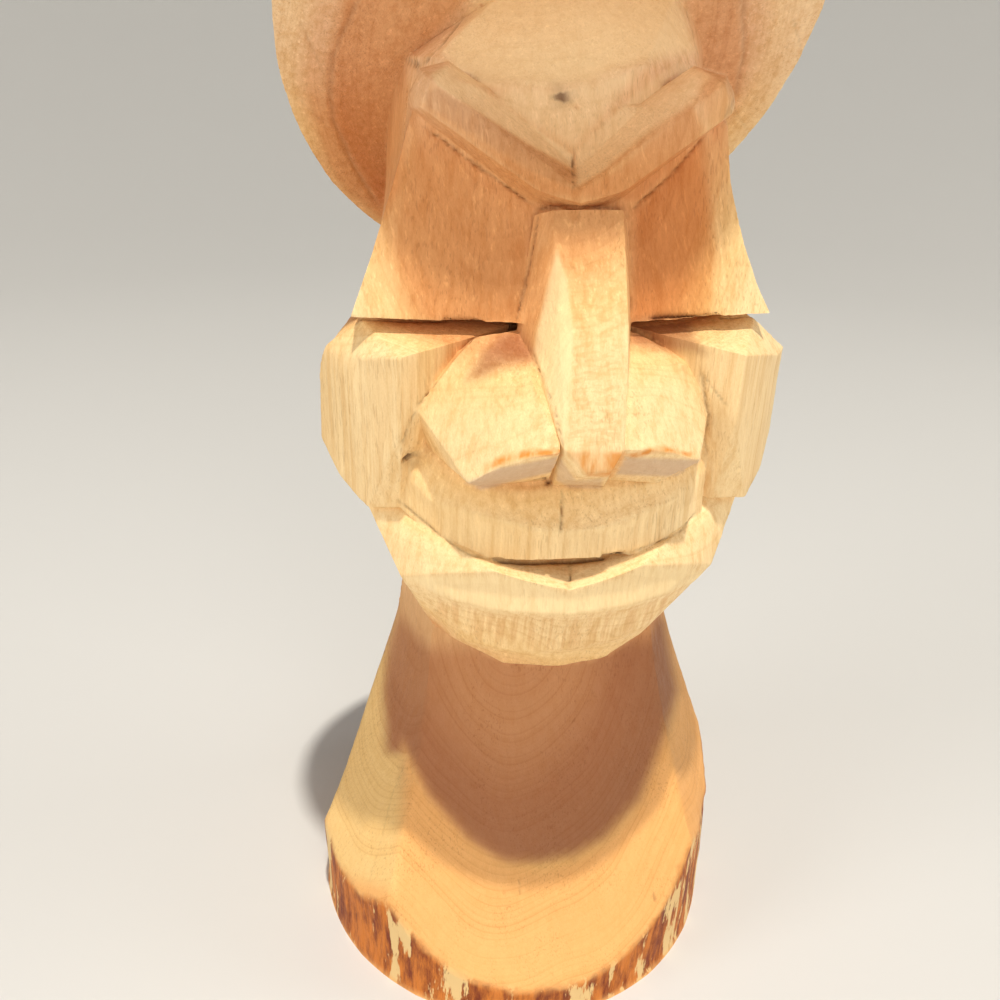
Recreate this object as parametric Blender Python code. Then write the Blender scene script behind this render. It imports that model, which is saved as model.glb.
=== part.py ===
"""A bust whittled from one short log.

The face looks along -Y, the log stands on Z, and the origin is the middle of the underside.
The carving is made of blocks with flat knife cuts, joined into one solid. Each block is drawn
with marks on a grid laid over the log: so many grid steps to the figure's left or right, so
many forward, and so many up, so the carving follows the log's own radius and height.
"""
import math

import bmesh
import bpy
from mathutils import Vector

# The log, in metres
LOG_DIAMETER = 0.120
HEIGHT = 0.320
LOG_SIDES = 72

# The neck at its narrowest, in metres: its width, and its front and back from the log's axis
NECK_WIDTH = 0.067
NECK_FRONT = 0.013
NECK_BACK = 0.040

# The hat, in metres and degrees: the drop is from the top down to the brim's underside on the axis,
# the inset is from the log's surface, and the sink is how far the head reaches into the brim
BRIM_THICKNESS = 0.0095
BRIM_LEAN = 45.8
BRIM_INSET = 0.0010
BRIM_SHIFT = 0.0008
BRIM_DROP = 0.0765
BRIM_SINK = 0.0010
CROWN_RADIUS = 0.043

# Reach of the carved surfaces from the log's axis, in metres
CHEEK_REACH_LEFT = 0.0585
CHEEK_REACH_RIGHT = 0.0600
PAD_REACH = 0.0595
MUZZLE_REACH = 0.0545
JAW_REACH = 0.0585
LIP_SETBACK = 0.0012
NOSE_REACH = 0.0598

# The carver's grid: steps in one log radius, and steps in the whole height
ACROSS_STEPS = 60.0
UP_STEPS = 320.0
STEP_ACROSS = LOG_DIAMETER / 2 / ACROSS_STEPS
STEP_UP = HEIGHT / UP_STEPS

WOOD_COLOUR = (0.80, 0.56, 0.29, 1.0)
WOOD_ROUGHNESS = 0.62


def mark(across, forward, up):
    """A place on the log, from its grid steps."""
    return Vector((across * STEP_ACROSS, -forward * STEP_ACROSS, up * STEP_UP))


def around(reach, across, up):
    """A mark on a round surface at a given reach, on the face's side of the log."""
    sideways = across * STEP_ACROSS
    return Vector((sideways, -math.sqrt(reach ** 2 - sideways ** 2), up * STEP_UP))


def turned(reach, share, up):
    """The same, with its way across given as a share of the reach."""
    return around(reach, share * reach / STEP_ACROSS, up)


def brim_slope():
    return math.tan(math.radians(BRIM_LEAN))


def in_brim(across, forward, sink):
    """A mark that reaches up into the brim, by a distance above its underside."""
    place = mark(across, forward, 0)
    place.z = HEIGHT - BRIM_DROP - brim_slope() * place.y + sink
    return place


def clear_scene():
    for thing in list(bpy.data.objects):
        bpy.data.objects.remove(thing, do_unlink=True)


def as_object(name, mesh_data):
    mesh = bpy.data.meshes.new(name)
    bmesh.ops.recalc_face_normals(mesh_data, faces=mesh_data.faces)
    mesh_data.to_mesh(mesh)
    mesh_data.free()
    thing = bpy.data.objects.new(name, mesh)
    bpy.context.collection.objects.link(thing)
    return thing


def block(name, marks):
    """The convex block that has the given marks as its corners."""
    mesh_data = bmesh.new()
    for place in marks:
        mesh_data.verts.new(place)
    hull = bmesh.ops.convex_hull(mesh_data, input=mesh_data.verts)
    inner = [item for item in hull["geom_interior"] if isinstance(item, bmesh.types.BMVert)]
    bmesh.ops.delete(mesh_data, geom=inner, context="VERTS")
    return as_object(name, mesh_data)


def loft(name, sections):
    """A tube through plan sections with the same number of corners, closed at both ends."""
    mesh_data = bmesh.new()
    rings = [[mesh_data.verts.new(corner) for corner in section] for section in sections]
    count = len(rings[0])
    for low, high in zip(rings, rings[1:]):
        for index in range(count):
            after = (index + 1) % count
            mesh_data.faces.new((low[index], low[after], high[after], high[index]))
    mesh_data.faces.new(rings[0])
    mesh_data.faces.new(rings[-1])
    bmesh.ops.triangulate(mesh_data, faces=mesh_data.faces)
    return as_object(name, mesh_data)


def mirrored(marks):
    """The same marks on the other side of the face."""
    return [Vector((-place.x, place.y, place.z)) for place in marks]


def log():
    """The round log from the underside to above the carving."""
    sections = []
    for up in (0.0, HEIGHT * 1.05):
        ring = []
        for index in range(LOG_SIDES):
            turn = 2 * math.pi * index / LOG_SIDES
            radius = LOG_DIAMETER / 2
            ring.append(Vector((radius * math.sin(turn), -radius * math.cos(turn), up)))
        sections.append(ring)
    return loft("log", sections)


def corner(first, second):
    """Where two upright cuts meet in plan; a cut is (turn in degrees, distance from the axis)."""
    turn_a, distance_a = math.radians(first[0]), first[1]
    turn_b, distance_b = math.radians(second[0]), second[1]
    spread = math.sin(turn_b - turn_a)
    across = (distance_b * math.cos(turn_a) - distance_a * math.cos(turn_b)) / spread
    forward = (distance_a * math.sin(turn_b) - distance_b * math.sin(turn_a)) / spread
    return across, -forward


def between(profile, up):
    """The share at a height, read along a profile of (height, share) pairs."""
    for (low, share_low), (high, share_high) in zip(profile, profile[1:]):
        if up <= high:
            return share_low + (share_high - share_low) * (up - low) / (high - low)
    return profile[-1][1]


def neck_and_foot():
    """The neck, flaring to the whole log: six long hollow cuts that leave a band of bark.

    Each cut has its turn from the face, its distance from the axis at the neck, and a profile
    of (height, share), where 0 is the neck and 1 the log's own surface.
    """
    front = ((-4, 1.30), (8, 1.05), (14, 0.89), (23.5, 0.755), (32.7, 0.645), (48, 0.445), (61, 0.275),
             (76, 0.125), (95, 0.0))
    right = ((-4, 1.5), (20, 1.2), (37.6, 0.95), (52, 0.66), (64, 0.474), (76, 0.31), (87, 0.18),
             (100, 0.06), (114, 0.0))
    left = ((-4, 1.4), (20, 1.04), (31, 0.87), (46, 0.62), (60, 0.37), (78, 0.15), (93, 0.045), (108, 0.0))
    right_rear = ((-4, 1.25), (30, 0.96), (47, 0.80), (65, 0.62), (84, 0.37), (104, 0.12), (118, 0.0))
    left_rear = ((-4, 1.05), (8, 0.90), (30, 0.59), (45, 0.46), (60, 0.39), (78, 0.25), (93, 0.09),
                 (108, 0.0))
    back = ((-4, 1.2), (20, 0.98), (40, 0.62), (60, 0.34), (80, 0.13), (104, 0.0))
    side = NECK_WIDTH / 2
    cuts = ((0, NECK_FRONT, front), (66, side * 1.03, right), (118, side * 1.0, right_rear),
            (180, NECK_BACK, back), (242, side * 0.95, left_rear), (295, side * 0.88, left))
    radius = LOG_DIAMETER / 2
    sections = []
    for up in (-4, 4, 10, 16, 23, 30, 37, 44, 52, 60, 68, 77, 87, 97, 108, 120, 150):
        placed = [(turn, near + (radius - near) * between(profile, up)) for turn, near, profile in cuts]
        ring = []
        for index, cut in enumerate(placed):
            across, back_to = corner(cut, placed[(index + 1) % len(placed)])
            ring.append(Vector((across, back_to, up * STEP_UP)))
        sections.append(ring)
    return loft("neck_and_foot", sections)


def both(across, forward, up):
    """The same mark on either side of the face."""
    return [mark(-across, forward, up), mark(across, forward, up)]


def skull():
    """The plain mass behind the face, from inside the neck to inside the hat."""
    marks = both(31, 6, 118) + both(31, -37, 112)
    marks += both(36, 24, 150) + both(39, -26, 150) + both(33, -44, 150)
    marks += both(38, 30, 190) + both(40, -22, 190) + both(35.5, -44, 200)
    for across, forward in ((30, -4), (33, -22), (30, -44)):
        marks += [in_brim(side * across, forward, BRIM_THICKNESS) for side in (-1, 1)]
    return block("skull", marks)


def forehead():
    """An upright cut above the brows, then a long cut that leans back to the hat."""
    low = both(30, 24, 226) + [mark(0, 37, 214)]
    ridge = [mark(-27.0, 19, 243.0), mark(-14, 31.5, 238.5), mark(3, 33.2, 238.5),
             mark(14, 30, 243), mark(28, 17, 245.5)]
    hat_line = []
    for across, forward in ((-34, -10), (-31.5, -2.6), (-24.5, 2), (-17.5, 7), (-12.7, 10), (5, 13),
                            (24.3, 11), (29, 7.5), (33, 3.5), (36, -2)):
        hat_line.append(in_brim(across, forward, BRIM_SINK))
    inside = both(28, -20, 226) + both(20, -10, 240)
    return block("forehead", low + ridge + hat_line + inside)


def eye_planes():
    """Two flat planes without eyes, from under the brows down to a sharp overhanging ledge."""
    sections = []
    for up, left, right, forward, wall in ((236, 31.5, 31.5, 29.6, 31.0), (231.4, 32.9, 32.5, 30.5, 32.0),
                                           (221, 35.8, 34.0, 31.7, 33.5), (208, 40.3, 38.4, 34.2, 36.5),
                                           (201, 42.9, 41.4, 35.6, 38.5), (194.6, 45.4, 45.1, 37.0, 40.5)):
        middle = 45.0 - (up - 194.6) * 0.243
        sections.append([mark(-left, forward, up), mark(0, middle, up), mark(right, forward, up),
                         mark(wall, 6, up), mark(36, -22, up), mark(-36, -22, up), mark(-wall, 6, up)])
    return loft("eye_planes", sections)


def brow(side):
    """One bar of the frown: an upper, a front and a lower face, and a cut across its end."""
    rear = [mark(-30.6, 27, 241.5), mark(-24.8, 27, 243.0), mark(3, 31, 226.0)]
    upper = [mark(-30.6, 31, 241.6), mark(-24.8, 32, 242.6), mark(0, 35, 226.6)]
    ridge = [mark(-28.6, 36.5, 240.2), mark(0, 42.8, 221.2)]
    lower = [mark(-30.8, 36.5, 235.2), mark(-8.3, 43.0, 220.9), mark(0, 43.2, 218.8)]
    under = [mark(-30.5, 29, 232.0), mark(-8.3, 37, 217.4), mark(0, 38, 215.5)]
    tip = [mark(-32.8, 32, 237.4), mark(-33.0, 29, 234.4)]
    marks = rear + upper + ridge + lower + under + tip
    return block("brow_left" if side < 0 else "brow_right", marks if side < 0 else mirrored(marks))


def cheek(side, reach, shoulder):
    """The side of the face out to a round surface, with a lit cut above and a cut below."""
    outer, height = shoulder
    top = [mark(-43.0, 33, 192.4), mark(-12, 37, 192.8), mark(-38.5, 0, 193)]
    rim = [turned(reach, -outer, height), turned(reach, -outer - 0.027, 179.0), mark(-21, 41.5, 191.3)]
    rim += [turned(reach, -share, up) for share, up in ((0.84, 183.6), (0.80, 184.9), (0.75, 186.2),
                                                        (0.70, 187.3), (0.65, 188.2), (0.61, 188.8))]
    groove = [turned(reach, -0.61, 173), mark(-36.0, 43.8, 163), mark(-36.0, 41, 152)]
    low = [turned(reach, -0.914, 162.0), turned(reach, -0.84, 155.5), turned(reach, -0.74, 151.5)]
    rear = [mark(-42, -16, 182), mark(-38, -24, 150), mark(-28, 10, 146), mark(-20, 30, 150)]
    marks = top + rim + groove + low + rear
    return block("cheek_left" if side < 0 else "cheek_right", marks if side < 0 else mirrored(marks))


def pad(side, edge, bevel):
    """A full nostril pad: it slopes out to the log's surface and is cut square beneath."""
    reach_in, reach_out, up_in, up_out = edge
    rear = [mark(side * 2, 40, 194), mark(side * 14.5, 41, 192), mark(side * 26, 41.5, 186),
            mark(side * 32, 42, 178)]
    crown = [mark(side * 10, 50.2, 186.8), mark(side * 16, 50.8, 184.0), mark(side * 22, 50.3, 180.6),
             mark(side * 28, 48.5, 175)]
    rim = []
    for share in (0.0, 0.3, 0.65, 0.85, 1.0):
        across = reach_in + (reach_out - reach_in) * share
        rim.append(around(PAD_REACH, side * across, up_in + (up_out - up_in) * share ** 1.8))
    under = [mark(side * reach_in, 49, up_in - 11.5), mark(side * 20, 49, 160.5),
             mark(side * 4, 38, 160), mark(side * 22, 38, 158), mark(side * 33, 36, 168)]
    marks = rear + bevel + crown + rim + under
    return block("pad_left" if side < 0 else "pad_right", marks)


def nose():
    """A wedge from between the brows to the log's surface, with its tip cut square."""
    root = [mark(-5.4, 42.3, 217.6), mark(9.0, 42.3, 217.6), mark(-8.6, 39.5, 216.0), mark(11.0, 39.0, 215.0)]
    front = [mark(-4.9, 45.2, 210.6), mark(-2.6, 48.9, 202.0), mark(-1.2, 52.6, 193.4), mark(-2.1, 56.0, 184.6),
             mark(9.2, 46.4, 207.7), mark(9.9, 51.2, 196.0), mark(9.4, 56.0, 184.4)]
    tip = [around(NOSE_REACH, -3.4, 173.3), around(NOSE_REACH, 8.8, 173.0), around(NOSE_REACH, 1.0, 168.3),
           around(NOSE_REACH, 6.4, 168.2)]
    side = [mark(-11.6, 41, 193.6), mark(13.4, 40, 194.4), mark(-9.0, 47.5, 189.2), mark(11.6, 47.5, 190.0)]
    under = [mark(-3.4, 49, 160.5), mark(8.0, 49, 160.0), mark(-6, 38, 162), mark(10, 38, 162)]
    return block("nose", root + front + tip + side + under)


def muzzle():
    """The upper lip: a steep top under the nose, an upright front and an edge that smiles."""
    low, high = [], []
    for across in (-36.3, -33, -29, -25, -20, -15, -10, -5, 0, 5, 10, 15, 20, 25, 29, 33):
        beside = abs(across)
        middle = 1.0 - min(1.0, beside / 13)
        low.append(around(MUZZLE_REACH, across, 144.4 + middle + 7.5 * (max(0.0, beside - 13) / 23) ** 2.2))
        end = max(0.0, beside - 22) / 12
        high.append(around(MUZZLE_REACH, across, 151.2 + 0.19 * beside + 4.5 * end ** 2.6))
    top = [mark(-32.3, 37, 175.4), mark(31.0, 37, 175.6), mark(-30, 32, 183.6), mark(30, 32, 183.6)]
    under = both(12, 42, 147.0) + both(33, 32, 157) + both(26, 14, 151) + both(28, 14, 172)
    return block("muzzle", low + high + top + under)


def jaw():
    """The lower lip and chin under a sloping shelf, down to the underside of the chin."""
    rim, lip = [], []
    for across, up in ((0, 144.1), (5, 144.1), (10, 144.1), (15, 144.1), (19, 143.3), (22.6, 142.4), (27, 141.1),
                       (30.8, 139.6), (36.4, 137.0)):
        rim += [around(JAW_REACH, side * across, up) for side in (-1, 1)]
    for across in (0, 6, 12, 18, 24, 30, 35.4):
        lip += [around(JAW_REACH - LIP_SETBACK, side * across, 133.2 + 0.002 * across ** 2) for side in (-1, 1)]
    shelf = both(15, 46, 149.0) + both(43.2, 38.0, 151.5) + both(30, 36, 156) + both(10, 30, 154)
    chin = [mark(0, 53.2, 121.0)] + both(13, 51.5, 121.8) + both(22, 48.5, 123.0) + both(29, 42, 124.0)
    below = [mark(0, 49, 112.2)] + both(12, 47.5, 113.0) + both(21.5, 44, 117.0) + both(28.5, 37, 118.0)
    rear = both(40.5, 24, 148) + both(35, 8, 134) + both(31, 4, 124) + both(24, 8, 116) + both(30, 0, 146)
    return block("jaw", rim + lip + shelf + chin + below + rear)


def mouth_notch():
    """The shallow V that dips the shelf to the middle of the mouth; it is cut from the jaw."""
    rim = JAW_REACH / STEP_ACROSS
    outside = rim + 5.5
    floor = [mark(0, outside, 138.1), mark(0, 44, 142.0)]
    wings = both(29, outside, 145.3) + both(29, 44, 149.2)
    above = both(29, outside, 160) + both(29, 44, 160)
    return block("mouth_notch", floor + wings + above)


def brim():
    """The hat's brim: a leaning slab whose edge is the log's own round surface."""
    rise = BRIM_THICKNESS / math.cos(math.radians(BRIM_LEAN))
    reach = LOG_DIAMETER / 2 - BRIM_INSET
    marks = []
    for index in range(LOG_SIDES):
        turn = 2 * math.pi * index / LOG_SIDES
        across = reach * math.sin(turn) - BRIM_SHIFT
        back = -reach * math.cos(turn)
        low = HEIGHT - BRIM_DROP - brim_slope() * back
        marks += [Vector((across, back, low)), Vector((across, back, low + rise))]
    return block("brim", marks)


def crown():
    """The hat's crown, eight-sided, leaning back within the log, cut flat and low on top."""
    rise = BRIM_THICKNESS / math.cos(math.radians(BRIM_LEAN))
    sides = 8
    marks = []
    for index in range(sides):
        turn = 2 * math.pi * (index + 0.5) / sides
        across = CROWN_RADIUS * math.sin(turn)
        back = CROWN_RADIUS * (0.12 - 0.92 * math.cos(turn))
        foot = HEIGHT - BRIM_DROP - brim_slope() * back + rise * 0.4
        marks.append(Vector((across, back, foot)))
        top_back = CROWN_RADIUS * (0.28 - 0.74 * math.cos(turn))
        top = HEIGHT - 0.30 * max(0.0, top_back + 0.40 * CROWN_RADIUS)
        marks.append(Vector((0.80 * across, top_back, top)))
    return block("crown", marks)


def join(base, pieces, operation):
    for piece in pieces:
        piece.hide_render = True
        piece.display_type = "WIRE"
        cut = base.modifiers.new(piece.name, "BOOLEAN")
        cut.operation = operation
        cut.solver = "EXACT"
        cut.object = piece


def wood():
    material = bpy.data.materials.new("whittled_wood")
    material.use_nodes = True
    shader = material.node_tree.nodes["Principled BSDF"]
    shader.inputs["Base Color"].default_value = WOOD_COLOUR
    shader.inputs["Roughness"].default_value = WOOD_ROUGHNESS
    shader.inputs["Metallic"].default_value = 0.0
    return material


def main():
    clear_scene()
    bust = neck_and_foot()
    bust.name = "carved_bust"
    join(bust, [log()], "INTERSECT")
    lower_face = jaw()
    join(lower_face, [mouth_notch()], "DIFFERENCE")
    blocks = [skull(), lower_face, muzzle(), eye_planes(), forehead(), brim(), crown()]
    blocks += [cheek(-1, CHEEK_REACH_LEFT, (0.880, 185.5)), cheek(1, CHEEK_REACH_RIGHT, (0.908, 183.1))]
    blocks += [brow(-1), brow(1)]
    left_bevel = [mark(-32.6, 44.6, 176.8), mark(-26.4, 45.4, 185.6), mark(-20.6, 43.2, 192.2)]
    blocks.append(pad(-1, (4.4, 22.4, 172.8, 164.4), left_bevel))
    blocks.append(pad(1, (8.8, 27.5, 173.0, 167.0), [mark(24, 45.5, 186.0)]))
    blocks.append(nose())
    join(bust, blocks, "UNION")
    bust.data.materials.append(wood())


main()
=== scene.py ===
"""Looks for the carved bust: one whittled log with its knife cuts, torn grooves, cracks and bark.

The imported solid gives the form. Its flat cuts are meshed again with even points, finer on the face,
the shallow corners between them are worked smooth, and the relief is pressed into that mesh.
Lengths are in metres and places named by pixel are read on the 1000 by 1000 photo.
"""

import math

import bmesh
import bpy
import numpy as np
from mathutils import Matrix, Vector
from mathutils.bvhtree import BVHTree
from mathutils.geometry import delaunay_2d_cdt
from mathutils.kdtree import KDTree


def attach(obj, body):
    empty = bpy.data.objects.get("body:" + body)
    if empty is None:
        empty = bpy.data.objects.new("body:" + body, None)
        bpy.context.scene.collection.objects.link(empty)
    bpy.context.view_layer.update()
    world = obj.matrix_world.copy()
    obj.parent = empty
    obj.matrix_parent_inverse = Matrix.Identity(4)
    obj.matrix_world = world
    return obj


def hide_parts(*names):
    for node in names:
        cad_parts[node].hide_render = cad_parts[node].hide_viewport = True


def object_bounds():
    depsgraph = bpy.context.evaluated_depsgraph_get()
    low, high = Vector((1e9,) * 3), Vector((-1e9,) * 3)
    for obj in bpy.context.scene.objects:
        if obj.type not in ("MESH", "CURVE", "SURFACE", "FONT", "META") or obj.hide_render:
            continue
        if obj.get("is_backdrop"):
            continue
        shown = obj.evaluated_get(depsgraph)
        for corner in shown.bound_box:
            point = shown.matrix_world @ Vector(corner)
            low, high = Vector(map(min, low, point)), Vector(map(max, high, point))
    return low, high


MM = 0.001
PHOTO = 1000
LENS = 36.0
SENSOR = 36.0

# Where the photo was taken from, turned about the log, in metres and degrees
CAMERA_BACK = 0.2434
CAMERA_UP = 0.2552
CAMERA_YAW = -1.79
CAMERA_PITCH = 26.93
CAMERA_ROLL = 1.94
CAMERA_TURN = -10.0

# Spacing of the mesh points: the finest lattice, and what each region asks for
FINEST = 0.54 * MM
FACE_SPACING = 1.2 * MM
FOOT_SPACING = 1.8 * MM
BACK_SPACING = 2.2 * MM

# Rows of a triangular lattice are this share of its spacing apart
ROW_SHARE = 0.8660254

# Bends, in degrees, above which an edge stays crisp, and the rounds of smoothing in the mesh
CRISP = 21.0
CRISP_IF_NAMED = 5.0
EDGE_ROUNDS = 10
SMOOTH_ROUNDS = 27
EDGE_SOFTENING = 1
SHADED_CRISP = 48.0

# How near a named line or crisp edge the finest and the face's own spacing are asked for
FINE_REACH = 1.0 * MM
CLOSE_REACH = 2.6 * MM

# Heights that part the foot's bark, the neck, the face and the hat, and what counts as the underside
BARK_TOP = 0.09
FOOT_TOP = 0.098
FACE_BOTTOM = 0.105
HAT_BOTTOM = 0.262
UNDERSIDE = 0.05 * MM

# Low relief, as size and depth: knife hollows, slow swells, fine unevenness and the bark's own
HOLLOW_SIZE, HOLLOW_DEPTH = 11 * MM, 0.45 * MM
SWELL_SIZE, SWELL_DEPTH = 24 * MM, 0.20 * MM
FINE_SIZE, FINE_DEPTH = 5 * MM, 0.05 * MM
BARK_SIZE, BARK_DEPTH = 7 * MM, 0.35 * MM

LOG_RADIUS = 0.060
PITH = (-0.003, 0.004)


# The camera

def camera_axes():
    yaw, pitch, roll = (math.radians(a) for a in (CAMERA_YAW, CAMERA_PITCH, CAMERA_ROLL))
    ahead = Vector((math.sin(yaw) * math.cos(pitch), math.cos(yaw) * math.cos(pitch), -math.sin(pitch)))
    level = Vector((math.cos(yaw), -math.sin(yaw), 0.0))
    over = level.cross(ahead)
    right = math.cos(roll) * level + math.sin(roll) * over
    over = -math.sin(roll) * level + math.cos(roll) * over
    turn = Matrix.Rotation(math.radians(CAMERA_TURN), 3, "Z")
    place = turn @ Vector((0.0, -CAMERA_BACK, CAMERA_UP))
    return place, turn @ right, turn @ over, turn @ ahead


CAMERA_PLACE = np.array(camera_axes()[0])


def add_camera():
    place, right, over, ahead = camera_axes()
    data = bpy.data.cameras.new("photo_camera")
    data.lens = LENS
    data.sensor_width = SENSOR
    data.clip_start = 0.01
    camera = bpy.data.objects.new("photo_camera", data)
    bpy.context.scene.collection.objects.link(camera)
    turned = Matrix((right, over, -ahead)).transposed().to_4x4()
    camera.matrix_world = Matrix.Translation(place) @ turned
    bpy.context.scene.camera = camera


def pixel_ray(across, down):
    place, right, over, ahead = camera_axes()
    focal = LENS / SENSOR * PHOTO
    aim = ahead + right * ((across - PHOTO / 2) / focal) - over * ((down - PHOTO / 2) / focal)
    return place, aim.normalized()


# Noise on arrays of places

def hashed(i, j, k, seed):
    mixed = i * 73856093 ^ j * 19349663 ^ k * 83492791 ^ seed * 2654435761
    mixed = (mixed ^ (mixed >> 13)) * 1274126177 & 0xFFFFFFFF
    mixed = (mixed ^ (mixed >> 16)) & 0xFFFF
    return mixed / 32767.5 - 1.0


def noise(places, wave, seed, stretch=(1, 1, 1)):
    """Smooth noise from -1 to 1, with its wavelength in metres, stretched along the axes."""
    scaled = places / (wave * np.asarray(stretch, float))
    cell = np.floor(scaled).astype(np.int64)
    part = scaled - cell
    part = part * part * (3 - 2 * part)
    total = np.zeros(len(places))
    for corner in range(8):
        step = np.array([corner & 1, corner >> 1 & 1, corner >> 2 & 1])
        weight = np.where(step, part, 1 - part).prod(axis=1)
        at = cell + step
        total += weight * hashed(at[:, 0], at[:, 1], at[:, 2], seed)
    return total


def rough(places, wave, seed, octaves=3, stretch=(1, 1, 1)):
    total = np.zeros(len(places))
    for octave in range(octaves):
        total += noise(places, wave / 2 ** octave, seed + octave, stretch) / 2 ** octave
    return total


def ramp(value, low, high):
    share = np.clip((value - low) / (high - low), 0, 1)
    return share * share * (3 - 2 * share)


def scallops(places, size, seed, stretch=(1, 1, 1)):
    """Distance to the nearest of many scattered centres, like the hollows of short knife cuts."""
    scaled = places / (size * np.asarray(stretch, float))
    cell = np.floor(scaled).astype(np.int64)
    nearest = np.full(len(places), 9.0)
    for number in range(27):
        at = cell + np.array([number % 3 - 1, number // 3 % 3 - 1, number // 9 - 1])
        shift = np.stack([hashed(at[:, 0], at[:, 1], at[:, 2], seed + axis) for axis in range(3)], axis=1)
        gap = np.linalg.norm(scaled - at - 0.5 - 0.38 * shift, axis=1)
        nearest = np.minimum(nearest, gap)
    return nearest


# Strokes named by pixels, laid on the wood

class Stroke:
    def __init__(self, pixels, width, depth, dark, tear=0.0):
        self.width, self.depth, self.dark, self.tear = width * MM, depth * MM, dark, tear
        places = []
        for (x0, y0), (x1, y1) in zip(pixels, pixels[1:]):
            steps = max(2, int(math.hypot(x1 - x0, y1 - y0) / 2))
            for step in range(steps):
                share = step / steps
                start, aim = pixel_ray(x0 + (x1 - x0) * share, y0 + (y1 - y0) * share)
                hit = SOLID.ray_cast(start, aim)[0]
                if hit is not None:
                    places.append(hit)
        self.places = np.array(places)
        self.share = np.linspace(0, 1, len(places))

    def near(self, points, reach):
        """Which points lie within reach, their distance, and their share along the stroke."""
        low, high = self.places.min(0) - reach, self.places.max(0) + reach
        chosen = np.nonzero(((points > low) & (points < high)).all(1))[0]
        if not len(chosen):
            return chosen, np.zeros(0), np.zeros(0)
        gaps = np.linalg.norm(points[chosen, None] - self.places[None], axis=2)
        nearest = gaps.argmin(1)
        distance = gaps[np.arange(len(chosen)), nearest]
        kept = distance < reach
        return chosen[kept], distance[kept], self.share[nearest[kept]]


def pixels_of(points):
    place, right, over, ahead = (np.array(a) for a in camera_axes())
    away = points - place
    deep = away @ ahead
    focal = LENS / SENSOR * PHOTO
    across = PHOTO / 2 + focal * (away @ right) / deep
    down = PHOTO / 2 - focal * (away @ over) / deep
    return np.stack([across, down], axis=1)


def patch(points, normal, outline, fade):
    """How far each point is inside a pixel outline, from 0 to 1, on the wood that the camera sees."""
    corners = np.array(outline, float)
    flat = pixels_of(points)
    reach = 2 * fade
    near = ((flat > corners.min(0) - reach) & (flat < corners.max(0) + reach)).all(1)
    near &= ((CAMERA_PLACE - points) * normal).sum(1) > 0
    chosen = np.nonzero(near)[0]
    share = np.zeros(len(points))
    if not len(chosen):
        return share
    within, gap = inside(flat[chosen], corners)
    amount = ramp(np.where(within, gap, -gap), -fade, fade)
    for index, value in zip(chosen[amount > 0], amount[amount > 0]):
        start = Vector(points[index] + normal[index] * 0.8 * MM)
        if SOLID.ray_cast(start, Vector(CAMERA_PLACE) - start)[0] is None:
            share[index] = value
    return share


# The mesh: the solid's flat cuts, meshed again with even points

def flat_cuts(node):
    cuts = bmesh.new()
    cuts.from_mesh(node.data)
    bmesh.ops.remove_doubles(cuts, verts=cuts.verts, dist=0.03 * MM)
    bmesh.ops.dissolve_degenerate(cuts, dist=0.01 * MM, edges=cuts.edges)
    bmesh.ops.dissolve_limit(cuts, angle_limit=math.radians(0.4), verts=cuts.verts, edges=cuts.edges)
    planes = [((0, 0, z * 16 * MM + 5 * MM), (0, 0, 1)) for z in range(20)]
    planes += [((x * 17 * MM, 0, 0), (1, 0, 0)) for x in range(-3, 4)]
    planes += [((0, y * 17 * MM, 0), (0, 1, 0)) for y in range(-3, 4)]
    for place, normal in planes:
        everything = cuts.verts[:] + cuts.edges[:] + cuts.faces[:]
        bmesh.ops.bisect_plane(cuts, geom=everything, dist=0.02 * MM, plane_co=place, plane_no=normal)
    return cuts


def wanted_spacing(points, normal):
    """How far apart the mesh points may be at each place."""
    seen = ((CAMERA_PLACE - points) @ normal) > 0
    face = points[:, 2] > FACE_BOTTOM
    spacing = np.where(seen, np.where(face, FACE_SPACING, FOOT_SPACING), BACK_SPACING)
    for index in np.nonzero(seen)[0]:
        gap = FINE_LINES.find(points[index])[2]
        if gap < FINE_REACH:
            spacing[index] = FINEST
        elif gap < CLOSE_REACH:
            spacing[index] = FACE_SPACING
    return spacing


def crisp_enough(edge):
    """Whether an edge of the solid stays a crisp knife edge."""
    bend = abs(edge.calc_face_angle_signed(0.0))
    middle = (edge.verts[0].co + edge.verts[1].co) / 2
    if any(len(line.near(np.array([middle]), line.width)[0]) for line in WORN_EDGES):
        return False
    if bend > math.radians(CRISP):
        return True
    if bend < math.radians(CRISP_IF_NAMED):
        return False
    return any(len(line.near(np.array([middle]), line.width)[0]) for line in NAMED_EDGES)


def edge_places(cuts):
    """Places along the crisp edges of the face, to set finer points beside them."""
    places = []
    for edge in cuts.edges:
        start, end = edge.verts[0].co, edge.verts[1].co
        if start.z > FACE_BOTTOM and crisp_enough(edge):
            steps = max(1, int((end - start).length / (0.6 * MM)))
            places += [start.lerp(end, step / steps) for step in range(steps + 1)]
    return places


def lookup_of(places):
    lookup = KDTree(len(places))
    for index, place in enumerate(places):
        lookup.insert(place, index)
    lookup.balance()
    return lookup


def inside(points, corners):
    """Which plane points lie inside a polygon, and how far they are from its sides."""
    within = np.zeros(len(points), bool)
    nearest = np.full(len(points), np.inf)
    ends = np.roll(corners, -1, axis=0)
    for start, end in zip(corners, ends):
        side = end - start
        length = side @ side
        share = np.clip(((points - start) @ side) / length, 0, 1)
        gap = np.linalg.norm(points - start - share[:, None] * side, axis=1)
        nearest = np.minimum(nearest, gap)
        if start[1] != end[1]:
            crossing = start[0] + (points[:, 1] - start[1]) / side[1] * side[0]
            spans = (start[1] > points[:, 1]) != (end[1] > points[:, 1])
            within ^= spans & (points[:, 0] < crossing)
    return within, nearest


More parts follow.
